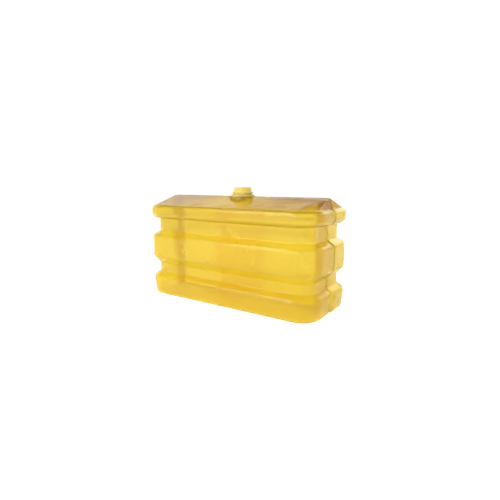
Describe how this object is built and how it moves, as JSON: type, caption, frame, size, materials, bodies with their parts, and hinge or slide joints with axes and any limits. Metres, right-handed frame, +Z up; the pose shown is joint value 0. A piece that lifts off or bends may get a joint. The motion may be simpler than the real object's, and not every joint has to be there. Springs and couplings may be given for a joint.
{
  "type": "fillable road marker block",
  "caption": "Hollow, fillable block marker of translucent yellow plastic: two ribbed half shells joined on a seam, with strap grooves, a hip top, a filler neck and a screw stopper.",
  "frame": {"origin": "on the ground under the middle of the block, in the seam plane between the two half shells", "axes": "+X along the block's long side, -Y towards the front shell, +Z up through the filler neck"},
  "size_m": [0.36, 0.154, 0.2067],
  "materials": {
    "shell_plastic": "translucent yellow, smooth moulded",
    "baffle_plastic": "translucent yellow, smooth moulded",
    "neck_plastic": "translucent yellow, smooth moulded",
    "stopper_plastic": "translucent yellow, smooth moulded",
    "seal_rubber": "soft amber rubber"
  },
  "bodies": {
    "block": {"front_shell": "shell_plastic", "rear_shell": "shell_plastic", "centre_baffle": "baffle_plastic", "filler_neck": "neck_plastic", "neck_seal": "seal_rubber", "neck_lock_nut": "neck_plastic"},
    "washer": {"stopper_washer": "seal_rubber"},
    "stopper": {"stopper": "stopper_plastic"}
  },
  "joints": [
    {"name": "stopper_rise", "type": "slide", "parent": "block", "child": "washer", "axis": [0, 0, 1], "range_m": [0, 0.01]},
    {"name": "stopper_turn", "type": "hinge", "parent": "washer", "child": "stopper", "pos_m": [0, 0, 0.1988], "axis": [0, 0, 1], "range_deg": [0, 900]}
  ],
  "couplings": [
    {"joint": "stopper_rise", "follows": "stopper_turn", "m_per_rad": 0.00063662}
  ]
}
